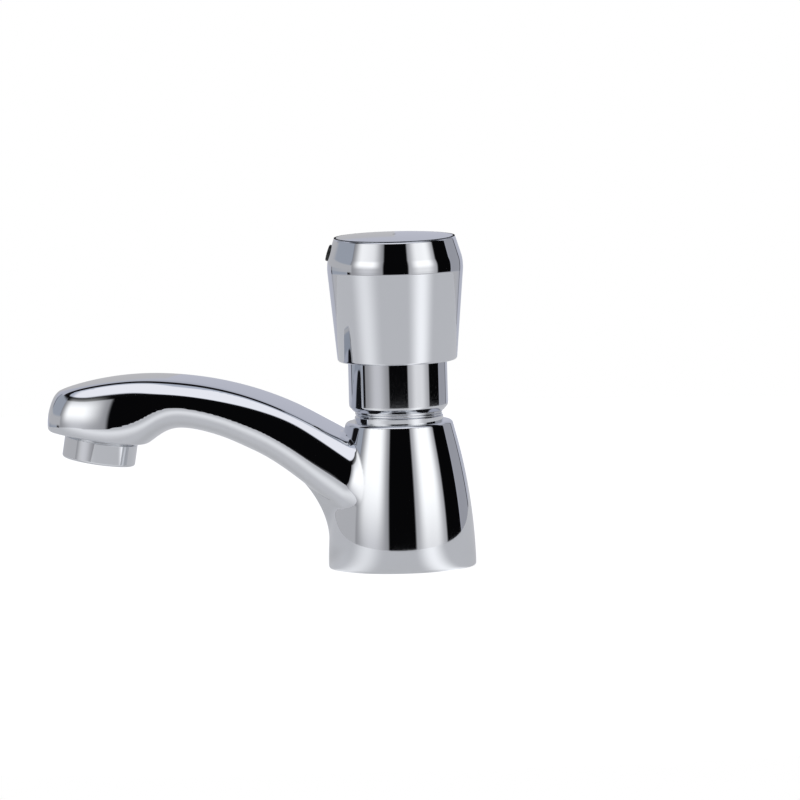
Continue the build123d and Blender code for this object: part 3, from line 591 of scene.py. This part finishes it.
# %% [markdown]
# ## Turned pieces
#
# The push cap, the bonnet and the aerator's shell come off a lathe. A profile of corners with
# their rounding radii is spun about the axis. The profile also knows the true direction of its
# surface at each point, and the faces get these as normals, so a narrow rounding beside a long
# flank doesn't smear its shading.

# %% Lathe helpers
DEGREES_EACH, LONGEST_STEP = 4.0, 1.5


def profile(corners):
    """Segments (point, normal, point, normal) round a closed outline of (radius, height, rounding)."""
    spots = []
    count = len(corners)
    for i in range(count):
        before, here, after = (np.array(corners[(i + k) % count][:2], float) for k in (-1, 0, 1))
        rounding = corners[i][2] if len(corners[i]) > 2 else 0
        inward = (here - before) / np.linalg.norm(here - before)
        outward = (after - here) / np.linalg.norm(after - here)
        side_in, side_out = (np.array((d[1], -d[0])) for d in (inward, outward))
        bend = math.atan2(inward[0] * outward[1] - inward[1] * outward[0], float(inward @ outward))
        if not rounding or abs(bend) < TINY:
            spots.append([(here, side_in), (here, side_out)])
            continue
        length = rounding * math.tan(abs(bend) / 2)
        hub = here - inward * length - side_in * rounding * math.copysign(1, bend)
        by_angle = math.ceil(math.degrees(abs(bend)) / DEGREES_EACH)
        steps = max(2, by_angle, math.ceil(abs(bend) * rounding / LONGEST_STEP))
        arc = []
        for k in range(steps + 1):
            a = bend * k / steps
            normal = np.array((side_in[0] * math.cos(a) - side_in[1] * math.sin(a),
                               side_in[0] * math.sin(a) + side_in[1] * math.cos(a)))
            arc.append((hub + normal * rounding * math.copysign(1, bend), normal))
        spots.append(arc)
    chain = []
    for i, spot in enumerate(spots):
        for (p, n), (q, m) in zip(spot, spot[1:]):
            if np.linalg.norm(q - p) > TINY:
                chain.append((p, n, q, m))
        start, end = spot[-1], spots[(i + 1) % count][0]
        chain.append((start[0], start[1], end[0], end[1]))
    return chain


def turned(name, corners, steps=256):
    """Closed mesh of the outline spun about Z. The outline runs counter-clockwise in (radius, height)."""
    chain = profile(corners)
    keep = [s for s in chain if max(s[0][0], s[2][0]) > TINY]
    rings, points, faces, normals = {}, [], [], []
    angles = np.linspace(0, 2 * math.pi, steps, endpoint=False)
    turns = list(zip(np.cos(angles), np.sin(angles)))

    def ring(p):
        key = (round(float(p[0]), 6), round(float(p[1]), 6))
        if key not in rings:
            rings[key] = len(points)
            if key[0] < TINY:
                points.append((0, 0, p[1]))
            else:
                points.extend((p[0] * c, p[0] * s, p[1]) for c, s in turns)
        return rings[key], key[0] < TINY

    for p, n, q, m in keep:
        (a, a_pole), (b, b_pole) = ring(p), ring(q)
        for k in range(steps):
            j = (k + 1) % steps
            corner = [(a + (0 if a_pole else k), n, k), (a + (0 if a_pole else j), n, j),
                      (b + (0 if b_pole else j), m, j), (b + (0 if b_pole else k), m, k)]
            if a_pole:
                corner.pop(1)
            elif b_pole:
                corner.pop(2)
            faces.append([c[0] for c in corner])
            normals.extend((c[1][0] * turns[c[2]][0], c[1][0] * turns[c[2]][1], c[1][1]) for c in corner)
    piece = mesh_piece(name, points, faces)
    piece.data.normals_split_custom_set(normals)
    return piece


print("lathe ready")

# %% [markdown]
# The push cap is a deep cup: a slightly flared flank, a soft chamfer below the crown, and a hub
# inside that takes the stem. A small dimple marks the middle of the crown. Each corner of a profile
# is a radius, a height and, where it has one, a rounding.

# %% Push cap
CROWN, EDGE_HEIGHT, EDGE_RADIUS = 115.3, 114.4, 20.95
SHOULDER_HEIGHT, SHOULDER_RADIUS = 106.6, 23.35
WIDEST_HEIGHT, WIDEST_RADIUS, SHOULDER_TURN = 103.4, 23.5, 12.0
CAP_FOOT, FOOT_RADIUS, CAP_WALL = 71.6, 20.6, 2.4
CEILING, CEILING_RADIUS, CROWN_EDGE_TURN, CROWN_ARC_START = 111.4, 18.55, 1.1, 10.5
HUB_RADIUS, HUB_FOOT, STEM_HOLE_RADIUS, STEM_HOLE_TOP = 10.2, 96.0, 3.02, 107.1
DIMPLE_RADIUS, DIMPLE_FLOOR = 0.5, 113.8
CROWN_TURN, INNER_TURN = 244.0, 6.0
cap = turned("plated_push_cap", [
    (0, DIMPLE_FLOOR),
    (0, STEM_HOLE_TOP),
    (STEM_HOLE_RADIUS, STEM_HOLE_TOP),
    (STEM_HOLE_RADIUS, HUB_FOOT, 0.2),
    (HUB_RADIUS, HUB_FOOT, 0.6),
    (HUB_RADIUS, CEILING),
    (CEILING_RADIUS, CEILING, 0.8),
    (SHOULDER_RADIUS - CAP_WALL, SHOULDER_HEIGHT, INNER_TURN),
    (WIDEST_RADIUS - CAP_WALL, WIDEST_HEIGHT, INNER_TURN),
    (FOOT_RADIUS - CAP_WALL, CAP_FOOT, 0.3),
    (FOOT_RADIUS, CAP_FOOT, 1.0),
    (WIDEST_RADIUS, WIDEST_HEIGHT, SHOULDER_TURN),
    (SHOULDER_RADIUS, SHOULDER_HEIGHT, SHOULDER_TURN),
    (EDGE_RADIUS, EDGE_HEIGHT, CROWN_EDGE_TURN),
    (CROWN_ARC_START, CROWN, CROWN_TURN),
    (DIMPLE_RADIUS, CROWN, 0.1),
    (DIMPLE_RADIUS, DIMPLE_FLOOR),
])

# %% [markdown]
# The bonnet screws down on the neck and clamps the valve. Only its plain plated band shows, with a
# softened lower edge.

# %% Bonnet
BONNET_RADIUS, BONNET_BORE, BONNET_FOOT, BONNET_TOP = 17.1, 15.05, 54.3, 78.0
BONNET_FOOT_RADIUS, BONNET_BAND_FOOT = 15.65, 56.0
CLAMP_RADIUS, CLAMP_FOOT, CLAMP_TOP, UPPER_BORE = 12.4, 67.0, 70.0, 14.6
bonnet = turned("plated_bonnet", [
    (BONNET_BORE, BONNET_FOOT),
    (BONNET_FOOT_RADIUS, BONNET_FOOT, 0.3),
    (BONNET_RADIUS, BONNET_BAND_FOOT, 1.2),
    (BONNET_RADIUS, BONNET_TOP, 0.3),
    (UPPER_BORE, BONNET_TOP),
    (UPPER_BORE, CLAMP_TOP),
    (CLAMP_RADIUS, CLAMP_TOP),
    (CLAMP_RADIUS, CLAMP_FOOT),
    (BONNET_BORE, CLAMP_FOOT),
])

# %% [markdown]
# The aerator's shell is turned about its own axis, with heights counted from the outlet face. It
# screws into the outlet and leaves a narrow gap there. Then it is leant with the outlet face.

# %% Aerator shell
SHELL_RADIUS, SHELL_FOOT, SHELL_SHOULDER = 12.7, -8.3, -0.9
SHELL_CORE, SHELL_TOP, SHELL_BORE, LIP_RADIUS, LIP_TOP = 11.2, 5.0, 10.4, 9.4, -7.5
shell = turned("plated_aerator_shell", [
    (LIP_RADIUS, SHELL_FOOT, 0.25),
    (SHELL_RADIUS, SHELL_FOOT, 0.8),
    (SHELL_RADIUS, SHELL_SHOULDER, 0.2),
    (SHELL_CORE, SHELL_SHOULDER),
    (SHELL_CORE, SHELL_TOP, 0.3),
    (SHELL_BORE, SHELL_TOP),
    (SHELL_BORE, LIP_TOP),
    (LIP_RADIUS, LIP_TOP),
])
at_outlet = Matrix.Translation((-OUTLET_REACH * MM, 0, OUTLET_HEIGHT * MM))
lean = at_outlet @ Matrix.Rotation(OUTLET_TILT, 4, "Y")
shell.data.transform(lean)

# %% [markdown]
# ## Threads
#
# A thread repeats along a helix, which is work for Geometry Nodes: a spiral gives the path, a
# small trapezoid gives the tooth, and the mesh is one sweep of the two. The same tree cuts the fine
# threads of the neck and the aerator and the coarse pipe thread of the inlet tube. The threads are
# made plain meshes afterwards.

# %% Thread node tree
thread_tree = bpy.data.node_groups.new("helical_thread", "GeometryNodeTree")
thread_tree.interface.new_socket("Geometry", in_out="INPUT", socket_type="NodeSocketGeometry")
for label in ("Foot", "Length", "Pitch", "Root radius", "Tooth height", "Root width", "Crest width"):
    thread_tree.interface.new_socket(label, in_out="INPUT", socket_type="NodeSocketFloat")
thread_tree.interface.new_socket("Finish", in_out="INPUT", socket_type="NodeSocketMaterial")
thread_tree.interface.new_socket("Geometry", in_out="OUTPUT", socket_type="NodeSocketGeometry")
given = add(thread_tree, "NodeGroupInput").outputs
turns_made = add(
    thread_tree, "ShaderNodeMath", {0: given["Length"], 1: given["Pitch"]}, operation="DIVIDE"
).outputs[0]
half_tooth = add(
    thread_tree, "ShaderNodeMath", {0: given["Tooth height"], 1: 0.5}, operation="MULTIPLY"
).outputs[0]
path_radius = add(
    thread_tree, "ShaderNodeMath", {0: given["Root radius"], 1: half_tooth}, operation="ADD"
).outputs[0]
path = add(thread_tree, "GeometryNodeCurveSpiral", {
    "Resolution": 64, "Rotations": turns_made, "Start Radius": path_radius, "End Radius": path_radius,
    "Height": given["Length"],
}).outputs[0]
path = add(thread_tree, "GeometryNodeSetCurveNormal", {"Curve": path}, mode="Z_UP").outputs[0]
tooth = add(thread_tree, "GeometryNodeCurvePrimitiveQuadrilateral", {
    "Bottom Width": given["Root width"], "Top Width": given["Crest width"], "Offset": 0.0,
    "Height": given["Tooth height"],
}, mode="TRAPEZOID").outputs[0]
sweep = add(
    thread_tree, "GeometryNodeCurveToMesh", {"Curve": path, "Profile Curve": tooth, "Fill Caps": True}
).outputs[0]
lift = add(thread_tree, "ShaderNodeCombineXYZ", {"Z": given["Foot"]}).outputs[0]
sweep = add(thread_tree, "GeometryNodeTransform", {"Geometry": sweep, "Translation": lift}).outputs[0]
sweep = add(thread_tree, "GeometryNodeRealizeInstances", {"Geometry": sweep}).outputs[0]
sweep = add(
    thread_tree, "GeometryNodeSetMaterial", {"Geometry": sweep, "Material": given["Finish"]}
).outputs[0]
add(thread_tree, "NodeGroupOutput", {"Geometry": sweep})
print("thread tree nodes:", len(thread_tree.nodes))


# %% Thread maker
def thread(name, finish, **sizes_mm):
    """A helical thread ridge as a plain mesh, sizes in mm by the tree's input names."""
    maker = bpy.data.objects.new(name + "_maker", bpy.data.meshes.new(name + "_maker"))
    bpy.context.scene.collection.objects.link(maker)
    modifier = maker.modifiers.new("thread", "NODES")
    modifier.node_group = thread_tree
    for item in thread_tree.interface.items_tree:
        if item.in_out == "INPUT" and item.name in sizes_mm:
            modifier[item.identifier] = sizes_mm[item.name] * MM
        if item.in_out == "INPUT" and item.name == "Finish":
            modifier[item.identifier] = finish
    seen_now = bpy.context.evaluated_depsgraph_get()
    mesh = bpy.data.meshes.new_from_object(maker.evaluated_get(seen_now))
    bpy.data.objects.remove(maker)
    mesh.name = name
    piece = bpy.data.objects.new(name, mesh)
    bpy.context.scene.collection.objects.link(piece)
    spots = np.array([v.co[:] for v in mesh.vertices]) / MM
    radii = np.hypot(spots[:, 0], spots[:, 1])
    print(name, "faces:", len(mesh.polygons), "closed:", is_closed(mesh))
    print("radii:", radii.min().round(2), radii.max().round(2))
    print("heights:", spots[:, 2].min().round(2), spots[:, 2].max().round(2))
    return piece


print("thread maker ready")

# %% [markdown]
# ## Finishes
#
# Each finish below starts from the real metal, rubber or plastic and from how its surface was
# made. Patterns read the object's own coordinates in metres, so one scale stands for one real
# size on every piece. The colour, the roughness and a fine bump all vary a little, because even a
# polished part has wiping marks and a soft orange peel.

# %% Material maker
WIPE_SIZE = 18 * MM


def finish(name, colour, metallic, roughness, grain_mm, grain_depth_mm, mark=0.04, tint=0.06, **shader):
    """Principled finish with roughness marks, a slight tint change and a fine bump of a real grain size."""
    material = bpy.data.materials.new(name)
    material.use_nodes = True
    tree = material.node_tree
    tree.nodes.clear()
    place = add(tree, "ShaderNodeTexCoord").outputs["Object"]
    wipe_scale = 1 / WIPE_SIZE
    wipe = add(tree, "ShaderNodeTexNoise", {"Vector": place, "Scale": wipe_scale, "Detail": 3.0}).outputs[0]
    least, most = max(roughness - mark, 0.0), roughness + mark
    rough = add(tree, "ShaderNodeMapRange", {"Value": wipe, 3: least, 4: most}).outputs[0]
    light, dark = linear(colour), [c * (1 - tint) for c in linear(colour)[:3]] + [1.0]
    shade = add(tree, "ShaderNodeMix", {0: wipe, 6: light, 7: dark}, data_type="RGBA").outputs[2]
    size, depth = grain_mm * MM, grain_depth_mm * MM
    grain = add(tree, "ShaderNodeTexNoise", {"Vector": place, "Scale": 1 / size, "Detail": 2.0}).outputs[0]
    bump = add(tree, "ShaderNodeBump", {"Height": grain, "Strength": 1.0, "Distance": depth}).outputs[0]
    shiny = add(tree, "ShaderNodeBsdfPrincipled",
                {"Base Color": shade, "Metallic": metallic, "Roughness": rough, "Normal": bump, **shader})
    add(tree, "ShaderNodeOutputMaterial", {"Surface": shiny.outputs[0]})
    print("finish:", name)
    return material


# %% [markdown]
# Chromium plate over polished brass is a slightly blue mirror. The plate is hard and shows almost
# no wear, only a faint unevenness left by buffing, wider than a thumb's mark and far less than a
# thousandth of a millimetre deep. The machined brass inside keeps fine turning lines and warm
# colour. Drawn stainless steel is greyer and a little brushed.

# %% Metals
chrome = finish("polished_chrome_plate", "#E3E5E8", 1.0, 0.03, 14.0, 0.004, mark=0.015, tint=0.03)
brass = finish("machined_brass", "#C9A45C", 1.0, 0.26, 0.5, 0.01, mark=0.08, tint=0.12)
steel = finish("drawn_stainless_steel", "#B4B6B8", 1.0, 0.24, 0.4, 0.006, mark=0.08, tint=0.08)

# %% [markdown]
# Seals are moulded nitrile rubber, nearly black and matte. The piston, the insert and the flow
# regulator are moulded acetal, a milky plastic with a soft shine. The index plug is a dark moulded
# cap.

# %% Rubber and plastics
rubber = finish("nitrile_rubber", "#1C1C1D", 0.0, 0.62, 0.3, 0.012, mark=0.1, tint=0.2)
acetal = finish(
    "white_acetal", "#E4E3DC", 0.0, 0.38, 0.6, 0.006, mark=0.06, tint=0.04, **{"Subsurface Weight": 0.1}
)
dark_plastic = finish("dark_moulded_plastic", "#20221E", 0.0, 0.4, 0.5, 0.008, mark=0.08, tint=0.15)

# %% [markdown]
# The finish of each carried piece follows the material slot that the record gives it. The show
# pieces made above take the place of their plain solids and ride with the same bodies.

# %% Finish the carried pieces
by_slot = {
    "chrome_plate": chrome, "brass": brass, "stainless_steel": steel, "black_rubber": rubber,
    "white_plastic": acetal, "dark_plastic": dark_plastic,
}
for part in frame["record"]["subparts"]:
    piece = nodes[part["node"]]
    piece.data.materials.clear()
    piece.data.materials.append(by_slot[part["material_slot"]])

# %% [markdown]
# The neck shows between the bell and the bonnet: a plain collar and two turns of a fine thread.

# %% Neck
NECK_BORE, NECK_FOOT, NECK_TOP = 12.2, 50.4, 64.0
COLLAR_RADIUS, COLLAR_TOP, NECK_CORE = 15.3, 52.4, 14.5
neck = turned("neck_tube", [
    (NECK_BORE, NECK_FOOT),
    (COLLAR_RADIUS, NECK_FOOT),
    (COLLAR_RADIUS, COLLAR_TOP, 0.2),
    (NECK_CORE, COLLAR_TOP),
    (NECK_CORE, NECK_TOP, 0.3),
    (NECK_BORE, NECK_TOP),
])
neck_thread = thread("neck_thread", chrome, **{
    "Foot": 52.75, "Length": 1.8, "Pitch": 0.9, "Root radius": 14.3, "Tooth height": 0.9,
    "Root width": 0.86, "Crest width": 0.26,
})

# %% [markdown]
# Below the deck the inlet tube carries a half-inch pipe thread of 1.814 mm pitch, in two lengths
# with a plain ring between them. Its head has a groove for the seal and a pocket for the strainer.
# The aerator's own thread sits in the narrow gap between its shell and the outlet.

# %% Inlet tube and its threads
INLET_BORE, TUBE_RADIUS, INLET_FOOT = 7.0, 9.3, -50.0
RING_RADIUS, RING_FOOT, RING_TOP = 9.9, -29.7, -28.5
HEAD_RADIUS, TAPER_FOOT, TAPER_TOP, HEAD_TOP = 10.4, 1.2, 2.4, 10.0
GROOVE_RADIUS, GROOVE_FOOT, GROOVE_TOP = 8.93, 6.15, 7.85
POCKET_RADIUS, POCKET_FLOOR = 7.9, 0.5
PIPE_PITCH = 1.814
inlet = turned("inlet_tube", [
    (INLET_BORE, INLET_FOOT, 0.3),
    (TUBE_RADIUS, INLET_FOOT, 0.6),
    (TUBE_RADIUS, RING_FOOT),
    (RING_RADIUS, RING_FOOT),
    (RING_RADIUS, RING_TOP),
    (TUBE_RADIUS, RING_TOP),
    (TUBE_RADIUS, TAPER_FOOT),
    (HEAD_RADIUS, TAPER_TOP),
    (HEAD_RADIUS, GROOVE_FOOT),
    (GROOVE_RADIUS, GROOVE_FOOT),
    (GROOVE_RADIUS, GROOVE_TOP),
    (HEAD_RADIUS, GROOVE_TOP),
    (HEAD_RADIUS, HEAD_TOP, 0.3),
    (POCKET_RADIUS, HEAD_TOP),
    (POCKET_RADIUS, POCKET_FLOOR),
    (INLET_BORE, POCKET_FLOOR),
])
pipe_tooth = {
    "Pitch": PIPE_PITCH, "Root radius": 9.15, "Tooth height": 1.25, "Root width": 1.78, "Crest width": 0.42,
}
inlet_thread = thread("inlet_thread", brass, **{"Foot": -49.0, "Length": 10 * PIPE_PITCH}, **pipe_tooth)
aerator_thread = thread("aerator_thread", chrome, **{
    "Foot": -1.3, "Length": 5.6, "Pitch": 0.94, "Root radius": 11.1, "Tooth height": 0.65,
    "Root width": 0.92, "Crest width": 0.12,
})
aerator_thread.data.transform(lean)
upper_thread = thread("inlet_thread_above", brass, **{"Foot": -27.4, "Length": 15 * PIPE_PITCH}, **pipe_tooth)

# %% [markdown]
# The return spring stands between the bush and the cap's hub. It is a coil of round wire, built at
# its rest length, and it rides with the body without shortening when the cap goes down.

# %% Return spring
SPRING_FOOT, SPRING_HEAD, SPRING_TURNS = 70.9, 95.1, 7
COIL_RADIUS, WIRE_RADIUS = 8.6, 0.8


def coil(name, steps=72, sides=20):
    """A closed helical tube from the spring's foot to its head."""
    points, faces = [], []
    count = SPRING_TURNS * steps + 1
    pitch = (SPRING_HEAD - SPRING_FOOT) / SPRING_TURNS
    slope = math.atan2(pitch, 2 * math.pi * COIL_RADIUS)
    for i in range(count):
        a = 2 * math.pi * i / steps
        outward = np.array((math.cos(a), math.sin(a), 0.0))
        over = np.array((math.sin(a) * math.sin(slope), -math.cos(a) * math.sin(slope), math.cos(slope)))
        middle = COIL_RADIUS * outward + np.array((0, 0, SPRING_FOOT + pitch * i / steps))
        for k in range(sides):
            b = 2 * math.pi * k / sides
            points.append(middle + WIRE_RADIUS * (math.cos(b) * outward + math.sin(b) * over))
    for i in range(count - 1):
        for k in range(sides):
            j = (k + 1) % sides
            faces.append([i * sides + k, (i + 1) * sides + k, (i + 1) * sides + j, i * sides + j])
    faces.append(list(range(sides)))
    faces.append([(count - 1) * sides + k for k in reversed(range(sides))])
    return mesh_piece(name, points, faces)


spring = coil("steel_return_spring")

# %% Place the show pieces
dressed = [
    (casting, "tap_body", "chrome_plate", chrome, "spout_body"),
    (neck, "tap_body", "chrome_plate", chrome, "spout_body"),
    (neck_thread, "tap_body", "chrome_plate", chrome, "spout_body"),
    (bonnet, "tap_body", "chrome_plate", chrome, "bonnet_sleeve"),
    (shell, "tap_body", "chrome_plate", chrome, "aerator_shell"),
    (aerator_thread, "tap_body", "chrome_plate", chrome, "aerator_shell"),
    (cap, "push_stem", "chrome_plate", chrome, "push_cap"),
    (spring, "tap_body", "stainless_steel", steel, "return_spring"),
    (inlet, "tap_body", "brass", brass, "inlet_shank"),
    (inlet_thread, "tap_body", "brass", brass, "inlet_shank"),
    (upper_thread, "tap_body", "brass", brass, "inlet_shank"),
]
for piece, body, slot_name, material, node in dressed:
    piece.data.materials.clear()
    piece.data.materials.append(material)
    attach(piece, body)
    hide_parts(node)
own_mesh(spring)
print("show pieces:", len(dressed))
